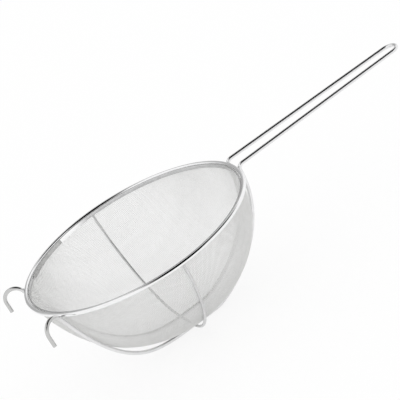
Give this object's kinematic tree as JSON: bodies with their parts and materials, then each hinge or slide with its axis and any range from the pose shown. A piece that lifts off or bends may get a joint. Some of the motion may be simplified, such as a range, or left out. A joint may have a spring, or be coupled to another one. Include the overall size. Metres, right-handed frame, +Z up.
{
  "type": "mesh strainer",
  "caption": "Large round wire-mesh strainer: woven steel bowl clamped in a steel rim, carried by a bent wire frame with a looped handle and a pair of rest hooks.",
  "frame": {"origin": "on the surface that the strainer stands on, under the middle of its overall length", "axes": "+X along the handle, away from the bowl; +Z up, out of the bowl's mouth"},
  "size_m": [0.4996, 0.2604, 0.1249],
  "materials": {
    "wire_cloth": "fine plain-weave bright steel wire cloth",
    "rim_steel": "bright plated round hoop",
    "band_steel": "bright rolled strip",
    "frame_steel": "bright plated drawn wire",
    "cross_steel": "bright plated drawn wire"
  },
  "bodies": {
    "root": {"mesh_bowl": "wire_cloth", "rim_hoop": "rim_steel", "rim_band": "band_steel", "frame_wire": "frame_steel", "cross_wire": "cross_steel"}
  },
  "joints": []
}
